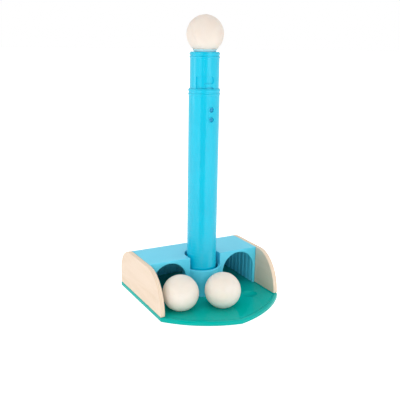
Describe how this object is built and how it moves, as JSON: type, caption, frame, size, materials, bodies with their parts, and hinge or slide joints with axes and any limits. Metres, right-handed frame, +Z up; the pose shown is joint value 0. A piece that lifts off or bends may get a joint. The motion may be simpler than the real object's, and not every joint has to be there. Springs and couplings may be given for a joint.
{
  "type": "batting tee",
  "caption": "Toddler batting tee: home-plate tray with arched ball bays, a height-adjustable post with a ball cup, and soft hollow balls.",
  "frame": {"origin": "on the floor, under the middle of the tray's outline", "axes": "+Z up, -Y towards the tray's pointed front, +X to the right seen from the front"},
  "size_m": [0.26, 0.274, 0.5484],
  "materials": {
    "tray_green": "glossy moulded plastic",
    "housing_blue": "satin moulded plastic",
    "tube_blue": "satin extruded plastic",
    "peg_blue": "satin moulded plastic",
    "cup_pale": "soft milky plastic",
    "plywood": "clear matt lacquer",
    "ball_vinyl": "soft matt vinyl",
    "rubber": "matt",
    "screw_steel": "zinc plated"
  },
  "bodies": {
    "base": {"tray": "tray_green", "housing": "housing_blue", "side_panel_left": "plywood", "side_panel_right": "plywood", "foot_front": "rubber", "foot_front_left": "rubber", "foot_front_right": "rubber", "foot_rear_left": "rubber", "foot_rear_right": "rubber", "housing_screw_front": "screw_steel", "housing_screw_back": "screw_steel", "housing_screw_left": "screw_steel", "housing_screw_right": "screw_steel", "housing_screw_rear_left": "screw_steel", "housing_screw_rear_right": "screw_steel", "panel_base_screw_left_front": "screw_steel", "panel_base_screw_left_rear": "screw_steel", "panel_base_screw_right_front": "screw_steel", "panel_base_screw_right_rear": "screw_steel", "panel_side_screw_left_front": "screw_steel", "panel_side_screw_left_rear": "screw_steel", "panel_side_screw_right_front": "screw_steel", "panel_side_screw_right_rear": "screw_steel"},
    "post": {"post_tube": "tube_blue", "post_plug": "tube_blue", "lock_peg_upper": "peg_blue", "lock_peg_lower": "peg_blue"},
    "extension": {"extension_tube": "tube_blue", "ball_cup": "cup_pale"},
    "ball_on_tee": {"tee_ball": "ball_vinyl"},
    "ball_left": {"stored_ball_left": "ball_vinyl"},
    "ball_center": {"stored_ball_center": "ball_vinyl"}
  },
  "joints": [
    {"name": "post_lift", "type": "slide", "parent": "base", "child": "post", "axis": [0, 0, 1], "range_m": [0, 0.085]},
    {"name": "extension_height", "type": "slide", "parent": "post", "child": "extension", "axis": [0, 0, 1], "range_m": [-0.0552, 0.0736]},
    {"name": "tee_ball_lift", "type": "slide", "parent": "extension", "child": "ball_on_tee", "axis": [0, 0, 1], "range_m": [0, 0.05]},
    {"name": "left_ball_lift", "type": "slide", "parent": "base", "child": "ball_left", "axis": [0, 0, 1], "range_m": [0, 0.09]},
    {"name": "center_ball_lift", "type": "slide", "parent": "base", "child": "ball_center", "axis": [0, 0, 1], "range_m": [0, 0.09]}
  ]
}
